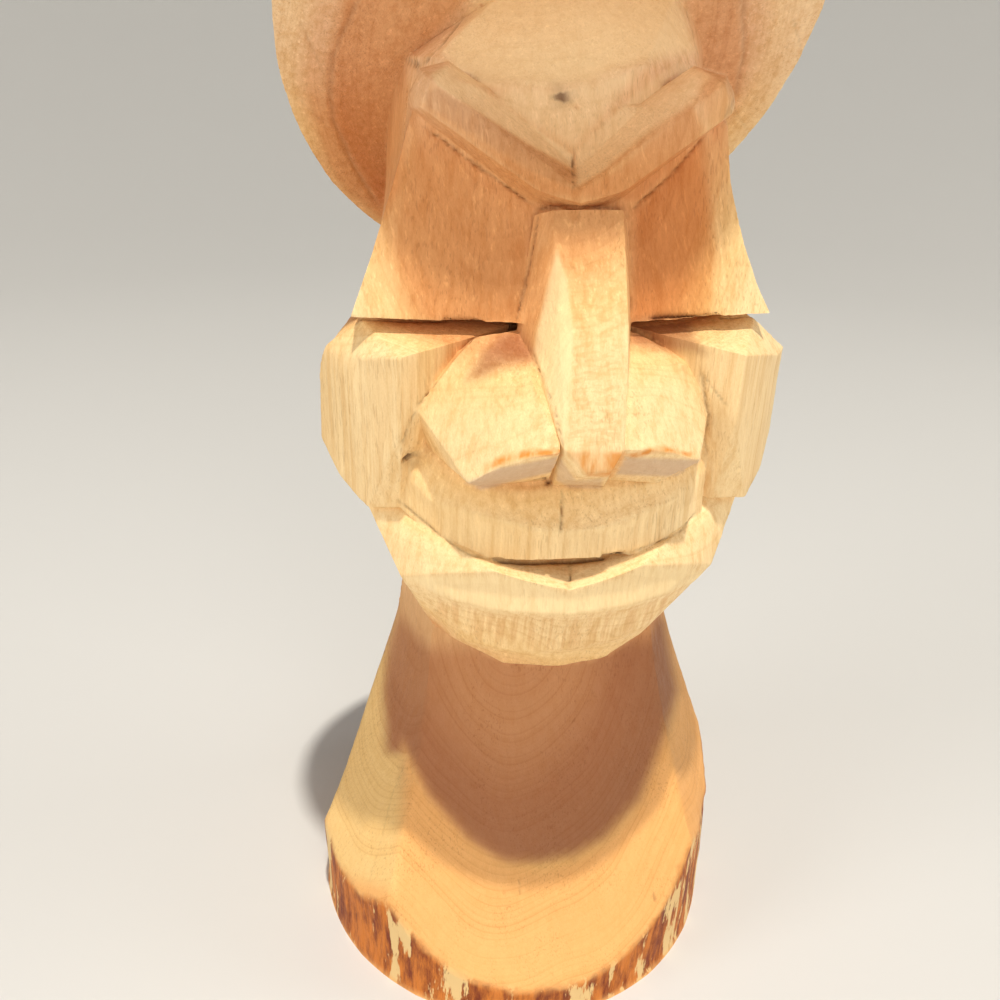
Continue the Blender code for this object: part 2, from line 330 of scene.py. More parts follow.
def lattice(corners, spacing_at):
    """Points of a triangular lattice inside the polygon, sparse where less is asked for."""
    for finest in (2 * FINEST, FINEST):
        low, high = corners.min(0), corners.max(0)
        row_gap = finest * ROW_SHARE
        rows = np.arange(math.floor(low[1] / row_gap), math.ceil(high[1] / row_gap) + 1)
        first = math.floor((low[0] - rows.max() * finest / 2) / finest) - 1
        last = math.ceil((high[0] - rows.min() * finest / 2) / finest) + 1
        i, j = np.meshgrid(np.arange(first, last + 1), rows)
        i, j = i.ravel(), j.ravel()
        points = np.stack([(i + j / 2) * finest, j * row_gap], axis=1)
        boxed = ((points > low) & (points < high)).all(1)
        points, i, j = points[boxed], i[boxed], j[boxed]
        within, nearest = inside(points, corners)
        points, i, j, nearest = points[within], i[within], j[within], nearest[within]
        if not len(points):
            return points
        wanted = spacing_at(points)
        if finest == FINEST or wanted.min() >= 1.6 * FINEST:
            break
    level = np.zeros(len(points))
    for power in (1, 2, 3):
        level[(i % 2 ** power == 0) & (j % 2 ** power == 0)] = power
    kept = (finest * 2 ** level > wanted / 1.45) & (nearest > 0.42 * np.maximum(wanted, finest))
    return points[kept]


def mesh_again(cuts):
    """Returns the points, the triangles and the crisp segments."""
    cuts.verts.index_update()
    points = [np.array(v.co) for v in cuts.verts]
    along, crisp = {}, []
    for edge in cuts.edges:
        a, b = edge.verts
        start, end = points[a.index], points[b.index]
        spacing = min(wanted_spacing(np.array([start, (start + end) / 2, end]), np.array(f.normal)).min()
                      for f in edge.link_faces)
        count = max(1, round(np.linalg.norm(end - start) / spacing))
        line = [a.index]
        for step in range(1, count):
            line.append(len(points))
            points.append(start + (end - start) * step / count)
        line.append(b.index)
        along[edge.index] = (a.index, line)
        if crisp_enough(edge):
            crisp += list(zip(line, line[1:]))
    triangles = []
    for face in cuts.faces:
        normal = np.array(face.normal)
        origin = np.array(face.verts[0].co)
        flat_x = np.cross(normal, [0.37, 0.61, 0.70])
        flat_x /= np.linalg.norm(flat_x)
        flat_y = np.cross(normal, flat_x)
        axes = np.stack([flat_x, flat_y], axis=1)
        ring = []
        for loop in face.loops:
            start, line = along[loop.edge.index]
            line = line if start == loop.vert.index else line[::-1]
            ring += line[:-1]
        corners = np.array([(np.array(v.co) - origin) @ axes for v in face.verts])
        extra = lattice(corners, lambda p: wanted_spacing(origin + p @ axes.T, normal))
        flat = np.concatenate([np.array([(points[i] - origin) @ axes for i in ring]), extra])
        first = len(points)
        points += list(origin + extra @ axes.T)
        names = ring + list(range(first, first + len(extra)))
        out = delaunay_2d_cdt([Vector(p) for p in flat], [], [list(range(len(ring)))], 1, 1e-8)
        origins = [o[0] if len(o) else -1 for o in out[3]]
        for triangle in out[2]:
            ids = [origins[t] for t in triangle]
            if min(ids) >= 0:
                triangles.append([names[t] for t in ids])
    return np.array(points), np.array(triangles), crisp


def neighbours(triangles):
    pairs = np.concatenate([triangles[:, [0, 1]], triangles[:, [1, 2]], triangles[:, [2, 0]]])
    return np.unique(np.sort(pairs, axis=1), axis=0)


def average(values, pairs, count):
    """For each point, the mean of a quantity over the points that it's joined to."""
    degree = np.bincount(pairs.ravel(), minlength=count)
    flat = values.reshape(count, -1)
    total = np.stack([np.bincount(pairs[:, 0], flat[pairs[:, 1], c], count)
                      + np.bincount(pairs[:, 1], flat[pairs[:, 0], c], count)
                      for c in range(flat.shape[1])], axis=1)
    return (total / np.maximum(degree, 1)[:, None]).reshape(values.shape)


def normals_of(points, triangles):
    a, b, c = (points[triangles[:, i]] for i in range(3))
    face = np.cross(b - a, c - a)
    total = np.zeros_like(points)
    for i in range(3):
        for axis in range(3):
            total[:, axis] += np.bincount(triangles[:, i], face[:, axis], len(points))
    return total / np.maximum(np.linalg.norm(total, axis=1), 1e-12)[:, None]


def work_smooth(points, triangles, crisp):
    """Rounds the shallow corners; crisp edges stay, but run more smoothly along themselves."""
    count = len(points)
    pairs = neighbours(triangles)
    lines = np.array(crisp)
    degree = np.bincount(lines.ravel(), minlength=count)
    free = degree == 0
    for _ in range(EDGE_ROUNDS):
        total = average(points, lines, count)
        pull = total - points
        straight = (degree == 2) & (np.linalg.norm(pull, axis=1) < 0.30 * MM)
        points[straight] += 0.5 * pull[straight]
    flat = points[:, 2] < UNDERSIDE
    free &= ~flat
    for _ in range(SMOOTH_ROUNDS):
        pull = average(points, pairs, count) - points
        points[free] += 0.6 * pull[free]
    for _ in range(EDGE_SOFTENING):
        pull = average(points, pairs, count) - points
        points[~flat] += 0.3 * pull[~flat]
    return points


# Cracks, gaps and torn grooves: pixels, half width in mm, depth in mm, darkness of the shade painted into
# the groove (on the forehead knot, the knot's own dark), torn fibres
MARKS = (
    (((352, 319), (380, 320), (415, 321), (460, 321), (484, 322)), 0.40, 1.0, 1.0, 0.3),
    (((650, 319), (669, 317), (700, 317), (735, 317), (766, 314)), 0.40, 1.0, 1.0, 0.3),
    (((532, 352), (540, 375), (554, 404), (560, 430), (564, 450)), 0.18, 0.35, 0.35, 0.5),
    (((478, 331), (451, 362), (430, 390), (416, 409)), 0.20, 0.4, 0.50, 0.3),
    (((416, 412), (408, 430), (402, 445)), 0.22, 0.4, 0.4, 0.5),
    (((409, 455), (410, 464)), 1.35, 1.8, 1.0, 0.2),
    (((560, 92), (561, 98), (560, 104)), 1.75, 0.2, 0.9, 0.1),
    (((534, 483), (543, 480), (552, 485)), 0.60, 1.2, 0.8, 0.6),
    (((573, 155), (574, 191)), 0.22, 0.5, 0.8, 0.0),
    (((361, -8), (344, 30), (333, 57), (330, 90), (333, 122), (355, 170),
      (380, 210)), 0.60, 0.35, 0.22, 0.3),
    (((743, -8), (744, 50), (736, 96), (722, 128)), 0.60, 0.35, 0.22, 0.3),
    (((793, 18), (805, 61)), 0.25, 0.2, 0.2, 0.0),
    (((733, 107), (752, 138)), 0.25, 0.2, 0.2, 0.0),
    (((300, 20), (322, 70)), 0.25, 0.2, 0.15, 0.0),
    (((300, 100), (330, 130)), 0.25, 0.2, 0.15, 0.0),
    (((653, 892), (656, 904)), 0.30, 0.2, 0.5, 0.0),
    (((519, 878), (520, 898)), 0.22, 0.2, 0.3, 0.0),
    (((495, 560), (530, 562), (565, 561), (600, 558), (630, 553)), 0.55, 1.0, 0.9, 0.3),
    (((569, 562), (571, 578), (567, 584), (570, 591)), 0.22, 0.5, 0.9, 0.0),
    (((562, 491), (562, 509), (561, 535)), 0.28, 0.5, 0.6, 0.0),
    (((702, 374), (708, 415), (704, 440), (708, 461)), 0.40, 0.5, 0.40, 0.6),
    (((701, 373), (729, 409)), 0.22, 0.25, 0.35, 0.0),
    (((424, 127), (440, 138), (474, 164), (500, 182), (534, 206)), 0.24, 0.6, 0.55, 0.6),
    (((632, 210), (650, 194), (675, 171), (706, 134)), 0.24, 0.6, 0.50, 0.5),
    (((537, 209), (560, 207), (600, 208), (626, 209)), 0.34, 0.5, 0.5, 0.6),
    (((538, 214), (528, 270), (516, 323)), 0.26, 0.5, 0.55, 0.3),
    (((627, 214), (629, 260), (632, 318)), 0.28, 0.5, 0.55, 0.3),
    (((398, 500), (436, 533), (469, 554), (495, 560)), 0.26, 0.4, 0.45, 0.4),
    (((630, 553), (679, 533), (698, 509)), 0.26, 0.4, 0.40, 0.3),
    (((407, 60), (414, 63), (422, 66)), 0.60, 1.2, 0.9, 0.3),
    (((700, 62), (693, 30), (686, 9)), 0.45, 0.6, 0.5, 0.6),
    (((422, 64), (444, 42), (464, 18)), 0.45, 0.6, 0.55, 0.6),
    (((362, 885), (370, 880), (381, 840), (393, 793), (408, 754)), 0.22, 0.15, 0.2, 0.0),
)

# Edges of low bend that stay crisp: the nose's facets, the lower lip and the foot's edges
NAMED_REACH = 2.6
NAMED = (
    ((549, 212), (557, 250), (548, 286), (540, 321), (533, 350)),
    ((557, 250), (567, 280), (573, 331), (573, 362), (571, 397), (566, 448)),
    ((533, 350), (546, 388), (557, 419), (564, 450)),
    ((621, 240), (619, 293), (619, 345), (621, 388), (622, 448)),
    ((410, 582), (442, 594), (491, 608), (530, 611), (570, 612), (628, 604), (677, 586), (705, 576)),
    ((415, 742), (409, 800), (403, 860), (391, 896)),
    ((655, 700), (662, 728), (680, 780), (694, 820)),
)

# Low ridges between facets: pixels, reach in mm and height in mm
RIDGES = (
    (((410, 582), (442, 594), (491, 608), (530, 611), (570, 612), (628, 604), (677, 586),
      (705, 576)), 3.6, 0.75),
    (((436, 629), (470, 640), (523, 650), (572, 646), (625, 634), (652, 624)), 3.0, 0.45),
    (((557, 250), (567, 280), (573, 331), (573, 362), (571, 397), (566, 448)), 2.4, 0.32),
    (((549, 212), (557, 247), (548, 286), (540, 321), (534, 350)), 2.0, 0.34),
    (((534, 352), (546, 388), (557, 419), (564, 450)), 1.8, 0.22),
    (((620, 240), (619, 293), (619, 345), (621, 388), (622, 448)), 1.8, 0.25),
    (((437, 72), (455, 82), (480, 88), (505, 84), (530, 81), (556, 87), (590, 84), (612, 72),
      (668, 63)), 2.4, 0.42),
    (((432, 100), (470, 112), (500, 142), (530, 160), (560, 182)), 2.0, 0.3),
    (((586, 186), (610, 176), (622, 160), (650, 140), (672, 120), (690, 112)), 2.0, 0.3),
    (((412, 430), (440, 462), (500, 492), (562, 491), (600, 493), (650, 482), (698, 474)), 2.0, 0.25),
    (((560, 535), (592, 527), (624, 522), (660, 502), (690, 480)), 2.4, 0.35),
    (((402, 470), (430, 500), (470, 514), (520, 522), (560, 535)), 2.4, 0.35),
)

# Edges of the solid that are worn away in the wood, and how near them in mm
WORN_REACH = 2.0
WORN = (
    ((500, 100), (560, 101), (626, 101)),
)

# Stains and painted light and shade: what they are, how strong, the fade in pixels, and their outline in
# pixels
STAINS_AND_PAINTED_LIGHT = (
    # Painted shadow: the brim's shadow on the tops of the moustache pads and on the top of the nose.
    ("painted_shadow_mauve", 0.9, 8, (
        (466, 380), (484, 350), (502, 334), (520, 331), (532, 350), (533, 361), (505, 365), (482, 378))),
    ("painted_shadow_mauve", 0.8, 8, (
        (633, 320), (650, 318), (688, 320), (700, 345), (706, 354), (680, 352), (650, 346), (633, 343))),
    ("painted_shadow_mauve", 0.15, 5, (
        (543, 209), (623, 210), (621, 238), (598, 243), (575, 246), (556, 246))),
    ("orange", 1.0, 2, (
        (481, 467), (503, 456), (523, 451), (545, 450), (563, 448), (562, 455), (540, 456), (523, 458),
        (500, 465), (485, 472))),
    ("orange", 1.0, 2, (
        (628, 454), (648, 449), (658, 445), (677, 450), (693, 454), (690, 457), (668, 452), (648, 454),
        (630, 457))),
    ("orange", 0.9, 3, (
        (567, 452), (624, 452), (622, 465), (612, 476), (588, 476), (570, 458))),
    # Painted shade: the down-facing undersides of the moustache pads and the nose, greyed as facets
    # turned away from the warm overhead light.
    ("painted_underside_grey", 0.9, 2, (
        (466, 483), (500, 468), (560, 456), (556, 471), (520, 480), (481, 490))),
    ("painted_underside_grey", 0.9, 2, (
        (625, 456), (701, 460), (676, 476), (616, 474))),
    ("painted_underside_grey", 0.6, 2, (
        (560, 457), (576, 481), (604, 478), (600, 489), (570, 488), (556, 480))),
    # Painted shade: the brim's shadow on the eye planes and the brows, and the head's shade on the brim's
    # underside beside the head, over the darker heartwood tone there.
    ("painted_shade_amber", 1.0, 8, (
        (634, 212), (700, 138), (716, 250), (712, 322), (634, 318))),
    ("painted_shade_amber", 0.4, 8, (
        (424, 128), (535, 209), (514, 322), (396, 320), (398, 206))),
    ("painted_shade_amber", 0.5, 4, (
        (420, 104), (450, 120), (500, 160), (545, 194), (640, 200), (706, 130), (690, 104), (620, 170),
        (575, 190), (530, 172))),
    ("painted_shade_amber", 0.8, 8, (
        (345, -20), (330, 57), (332, 122), (384, 214), (400, 190), (408, 100), (410, 60), (440, 30),
        (480, -20))),
    ("painted_shade_amber", 0.6, 8, (
        (742, -20), (743, 50), (736, 96), (715, 140), (700, 90), (698, 50), (680, -20))),
    ("brown_streaks_and_painted_shade", 0.8, 6, (
        (440, 599), (495, 613), (570, 617), (628, 609), (690, 586), (700, 592), (660, 620), (600, 642),
        (550, 648), (480, 640), (436, 612))),
    # Paler wood painted lighter still as painted light: the upward-facing upper forehead and the tops of
    # the brows.
    ("pale", 1.0, 10, (
        (445, 50), (470, 10), (480, -20), (670, -20), (690, 20), (696, 50), (640, 66), (612, 74),
        (590, 86), (556, 88), (505, 86), (480, 90), (455, 82))),
    ("pale", 0.6, 8, (
        (455, 80), (480, 90), (556, 88), (612, 74), (640, 70), (575, 150))),
    ("pale", 0.6, 3, (
        (576, 150), (640, 90), (678, 62), (712, 76), (690, 104), (640, 138), (600, 172), (577, 186))),
    ("pale", 0.7, 2, (
        (446, 64), (573, 154), (573, 168), (520, 138), (470, 106), (438, 86), (430, 74))),
    # Painted shade on the left brow's front facet.
    ("painted_shadow_mauve", 0.3, 2, (
        (425, 92), (438, 88), (470, 108), (520, 140), (572, 170), (572, 189), (534, 172), (500, 152),
        (450, 120), (426, 108))),
    # Painted shadow of the head on the front of the foot, drawn as dark heartwood; the next outlines
    # paint the lit left side and lit front of the foot beyond that shadow, as greenish and golden
    # sapwood.
    ("painted_shadow_heart", 1.0, 9, (
        (400, 600), (386, 690), (400, 735), (430, 788), (470, 832), (505, 855), (540, 862), (575, 855),
        (605, 838), (640, 800), (664, 740), (678, 690), (664, 620))),
    ("painted_light_sap", 1.0, 9, (
        (400, 600), (388, 640), (384, 700), (386, 752), (404, 756), (396, 890), (330, 870), (322, 800),
        (340, 700), (372, 640))),
    ("painted_light_gold", 1.0, 9, (
        (404, 740), (430, 795), (470, 840), (505, 864), (540, 870), (575, 864), (605, 846), (642, 806),
        (668, 742), (690, 720), (705, 800), (690, 900), (620, 980), (480, 980), (390, 900))),
    ("painted_light_gold", 1.0, 9, (
        (668, 640), (682, 690), (672, 742), (700, 830), (720, 800), (706, 700), (680, 630))),
    # Painted shade in the groove between the left cheek and the left pad.
    ("brown_streaks_and_painted_shade", 0.6, 5, (
        (412, 352), (440, 340), (474, 333), (448, 364), (418, 405), (412, 400))),
    # Paler wood painted lighter still as painted light: the nose's facet that faces the light, and the
    # lower lip's facet.
    ("pale", 1.0, 3, (
        (557, 250), (567, 280), (573, 330), (573, 362), (570, 400), (564, 448), (557, 419), (546, 388),
        (534, 350), (540, 321), (548, 286))),
    ("pale", 0.8, 3, (
        (405, 577), (440, 577), (469, 577), (514, 577), (570, 597), (611, 582), (642, 568), (681, 568),
        (712, 574), (677, 586), (628, 604), (570, 612), (530, 611), (491, 608), (442, 594))),
    ("ripple", 1.0, 3, (
        (571, 258), (620, 250), (619, 345), (621, 445), (567, 447), (573, 400), (574, 331))),
)
STAIN_AND_PAINTED_LIGHT_NAMES = ("painted_shadow_mauve", "painted_shade_amber", "orange", "painted_underside_grey", "brown_streaks_and_painted_shade", "pale", "ripple", "painted_shadow_heart", "painted_light_sap", "painted_light_gold")


def build_bust(cuts):
    points, triangles, crisp = mesh_again(cuts)
    cuts.free()
    used = np.unique(triangles)
    renamed = np.full(len(points), -1)
    renamed[used] = np.arange(len(used))
    points, triangles = points[used], renamed[triangles]
    crisp = [(renamed[a], renamed[b]) for a, b in crisp if renamed[a] >= 0 and renamed[b] >= 0]
    points = work_smooth(points, triangles, crisp)
    normal = normals_of(points, triangles)
    start = points.copy()
    radius = np.hypot(start[:, 0], start[:, 1])
    outward = (start[:, 0] * normal[:, 0] + start[:, 1] * normal[:, 1]) / radius.clip(1e-6)
    bark = ramp(outward, 0.92, 0.96) * ramp(radius, LOG_RADIUS - 1.6 * MM, LOG_RADIUS - 1.1 * MM)
    bark *= start[:, 2] < BARK_TOP
    pairs = neighbours(triangles)
    for _ in range(3):
        bark = average(bark, pairs, len(points))
    bark = ramp(bark, 0.25, 0.75)

    fields = {name: np.zeros(len(points)) for name in STAIN_AND_PAINTED_LIGHT_NAMES}
    for name, strength, fade, outline in STAINS_AND_PAINTED_LIGHT:
        fields[name] = np.maximum(fields[name], strength * patch(start, normal, outline, fade))
    # The foot's painted shadow and painted light stay on the foot.
    for name in ("painted_shadow_heart", "painted_light_sap", "painted_light_gold"):
        fields[name] *= ramp(-start[:, 2], -FOOT_TOP, -BARK_TOP)

    seen = ((CAMERA_PLACE - start) * normal).sum(1) > 0
    coarse = np.where(seen & (start[:, 2] < HAT_BOTTOM), 0.35, 1.0)
    hollows = scallops(start, HOLLOW_SIZE, 61, (1, 1, 1.6))
    height = coarse * HOLLOW_DEPTH * (hollows ** 2 - 0.4)
    height += SWELL_DEPTH * rough(start, SWELL_SIZE, 11) + FINE_DEPTH * rough(start, FINE_SIZE, 17)
    height += bark * BARK_DEPTH * (rough(start, BARK_SIZE, 29, 3, (1, 1, 4)) - 0.6)
    dark = np.zeros(len(points))
    for stroke in STROKES:
        chosen, distance, share = stroke.near(start, 3 * stroke.width)
        fray = 1 + 0.30 * noise(start[chosen], 2.0 * MM, 5)
        ends = ramp(share, 0, 0.08) * ramp(1 - share, 0, 0.08)
        groove = np.exp(-(distance / stroke.width * fray) ** 2) * (0.25 + 0.75 * ends)
        torn = stroke.tear * np.exp(-(distance / stroke.width / 2) ** 2)
        torn = torn * noise(start[chosen], 0.9 * MM, 23, (1, 1, 3))
        height[chosen] -= stroke.depth * (groove + 0.4 * torn)
        # Painted shade darkens each groove, gap and crack; on the forehead knot the dark is the knot's
        # own.
        dark[chosen] = np.maximum(dark[chosen], stroke.dark * np.clip(groove * 1.2, 0, 1))
    for ridge in RAISED:
        chosen, distance, share = ridge.near(start, ridge.width)
        ends = ramp(share, 0, 0.12) * ramp(1 - share, 0, 0.12)
        height[chosen] += ridge.depth * ends * (1 - distance / ridge.width)
    low = start[:, 2] < UNDERSIDE
    height[low] = 0
    points = start + normal * height[:, None]
    points[:, 2] = np.clip(points[:, 2], 0, cad_box[1][2] - 0.02 * MM)
    over = np.hypot(points[:, 0], points[:, 1]) > LOG_RADIUS - 0.02 * MM
    points[over, :2] *= ((LOG_RADIUS - 0.02 * MM) / np.hypot(points[over, 0], points[over, 1]))[:, None]
    # The painted shade of the grooves, with the knot's dark, is kept as a field on the points.
    fields.update({"groove_shade_and_knot": dark, "bark": bark})

    mesh = bpy.data.meshes.new("whittled_bust")
    mesh.vertices.add(len(points))
    mesh.vertices.foreach_set("co", points.astype(np.float32).ravel())
    mesh.loops.add(triangles.size)
    mesh.loops.foreach_set("vertex_index", triangles.astype(np.int32).ravel())
    mesh.polygons.add(len(triangles))
    mesh.polygons.foreach_set("loop_start", np.arange(0, triangles.size, 3, dtype=np.int32))
    mesh.update(calc_edges=True)
    mesh.validate()
    mesh.polygons.foreach_set("use_smooth", np.ones(len(triangles), bool))
    mesh.set_sharp_from_angle(angle=math.radians(SHADED_CRISP))
    for name, values in fields.items():
        layer = mesh.attributes.new(name, "FLOAT", "POINT")
        layer.data.foreach_set("value", values.astype(np.float32))
    bust = bpy.data.objects.new("whittled_bust", mesh)
    bpy.context.scene.collection.objects.link(bust)
    return bust


# The wood

class Shader:
    """Short calls for the nodes of one material."""

    def __init__(self, name):
        self.material = bpy.data.materials.new(name)
        self.material.use_nodes = True
        self.tree = self.material.node_tree
        self.surface = self.tree.nodes["Principled BSDF"]

    def node(self, kind, settings=(), **inputs):
        made = self.tree.nodes.new("ShaderNode" + kind)
        for name, value in dict(settings).items():
            setattr(made, name, value)
        for name, value in inputs.items():
            self.feed(made.inputs[name.replace("_", " ")], value)
        return made

    def feed(self, socket, value):
        if isinstance(value, bpy.types.NodeSocket):
            self.tree.links.new(value, socket)
        else:
            socket.default_value = value

    def math(self, operation, first, second=0.0):
        made = self.tree.nodes.new("ShaderNodeMath")
        made.operation = operation
        for socket, value in zip(made.inputs, (first, second)):
            self.feed(socket, value)
        return made.outputs[0]

    def times(self, first, second):
        return self.math("MULTIPLY", first, second)

    def between(self, value, low, high, to_low=0.0, to_high=1.0):
        made = self.node("MapRange", {"interpolation_type": "SMOOTHSTEP"}, Value=value, From_Min=low,
                         From_Max=high, To_Min=to_low, To_Max=to_high)
        return made.outputs[0]

    def noise(self, vector, scale, detail=3.0, rough=0.55, stretch=(1, 1, 1)):
        mapped = self.node("Mapping", Vector=vector, Scale=stretch).outputs[0]
        made = self.node("TexNoise", Vector=mapped, Scale=scale, Detail=detail, Roughness=rough)
        return made.outputs[0]

    def mix(self, share, first, second, blend="MIX"):
        made = self.tree.nodes.new("ShaderNodeMix")
        made.data_type = "RGBA"
        made.blend_type = blend
        self.feed(made.inputs[0], share)
        self.feed(made.inputs[6], first)
        self.feed(made.inputs[7], second)
        return made.outputs[2]

    def shade(self, share, body, tint):
        """The body's colour multiplied by a tint, as far as the share says."""
        return self.mix(share, body, tint, "MULTIPLY")

    def ramp(self, share, stops):
        """A colour that runs through the given stops of place and colour."""
        made = self.node("ValToRGB", Fac=share)
        elements = made.color_ramp.elements
        while len(elements) < len(stops):
            elements.new(0.5)
        for element, (place, tint) in zip(elements, stops):
            element.position = place
            element.color = tint
        return made.outputs[0]

    def field(self, name):
        return self.node("Attribute", {"attribute_name": name}).outputs["Fac"]


def colour(red, green, blue):
    """A linear colour from its display values."""
    return tuple((c / 255) ** 2.2 for c in (red, green, blue)) + (1.0,)


# Colours of the rings, by share of the log's radius: at the foot, in the foot's patch painted as the
# head's shadow, and at the face. The foot's darker heartwood band ends crisply where the head's shadow on
# the foot ends, so it is partly painted shadow.
FOOT_RINGS = (
    (0.42, (0.53, 0.245, 0.100, 1)),
    (0.60, (0.41, 0.165, 0.066, 1)),
    (0.71, (0.44, 0.180, 0.072, 1)),
    (0.76, (0.84, 0.500, 0.175, 1)),
    (0.98, (0.87, 0.460, 0.160, 1)),
)
PAINTED_SHADOW_HEART_RINGS = (
    (0.42, (0.53, 0.245, 0.100, 1)),
    (0.60, (0.40, 0.160, 0.064, 1)),
    (0.78, (0.36, 0.150, 0.064, 1)),
)
FACE_RINGS = (
    (0.50, (0.80, 0.480, 0.220, 1)),
    (0.72, (0.70, 0.330, 0.120, 1)),
    (0.82, (0.76, 0.380, 0.145, 1)),
    (0.90, (0.91, 0.620, 0.280, 1)),
    (0.99, (0.94, 0.700, 0.375, 1)),
)
# Colours painted on the lit front and the lit left side of the foot.
PAINTED_LIGHT_GOLDEN_SAPWOOD = (0.87, 0.460, 0.160, 1)
PAINTED_LIGHT_GREEN_SAPWOOD = (0.88, 0.580, 0.230, 1)
# Colour of the upper forehead: paler wood, with painted light on its upward-facing slope.
FOREHEAD_PALER_AND_LIT = (0.90, 0.63, 0.40, 1)
# Paler colour for facets that face the light: partly paler wood, partly painted light.
PAINTED_LIGHT_PALE = colour(252, 226, 172)
RIPPLE_LINES = colour(206, 152, 84)
ORANGE_EDGE = colour(222, 142, 62)
# Colour of the painted shade on the down-facing undersides.
PAINTED_UNDERSIDE_GREY = colour(196, 164, 140)
BARK_LIGHT = colour(212, 124, 50)
BARK_DARK = colour(122, 52, 24)
BARK_SHED = colour(236, 200, 138)
# Colour of the painted shade in grooves, gaps and cracks, and of the forehead knot.
GROOVE_SHADE_AND_KNOT_DARK = colour(84, 42, 20)

# Tints that the wood's colour is multiplied by
CLOUD_TINT = (0.92, 0.80, 0.64, 1)
YEAR_TINT = (0.86, 0.74, 0.58, 1)
RING_TINT = (0.76, 0.62, 0.48, 1)
FIBRE_DARK = (0.80, 0.64, 0.44, 1)
FIBRE_PALE = (1.12, 1.14, 1.16, 1)
FLECK_PALE = (1.14, 1.22, 1.30, 1)
FLECK_DARK = (0.72, 0.55, 0.38, 1)
SPECK_TINT = (0.78, 0.64, 0.46, 1)
PORE_TINT = (0.50, 0.34, 0.22, 1)
# Tint of the painted shadow of the brim, and of the painted shade on the brow.
PAINTED_SHADOW_TINT = (0.48, 0.32, 0.28, 1)
# Tint of the painted shade from the brim on the eye planes and brows, and inside the brim.
PAINTED_SHADE_AMBER_TINT = (0.86, 0.62, 0.42, 1)
# Tint of the chin's dark streaks and of the painted shade in the left cheek's groove.
STREAK_AND_SHADE_TINT = (0.80, 0.60, 0.44, 1)

RING_WIDTH = 0.95 * MM
RING_WANDER = 12.0 * MM


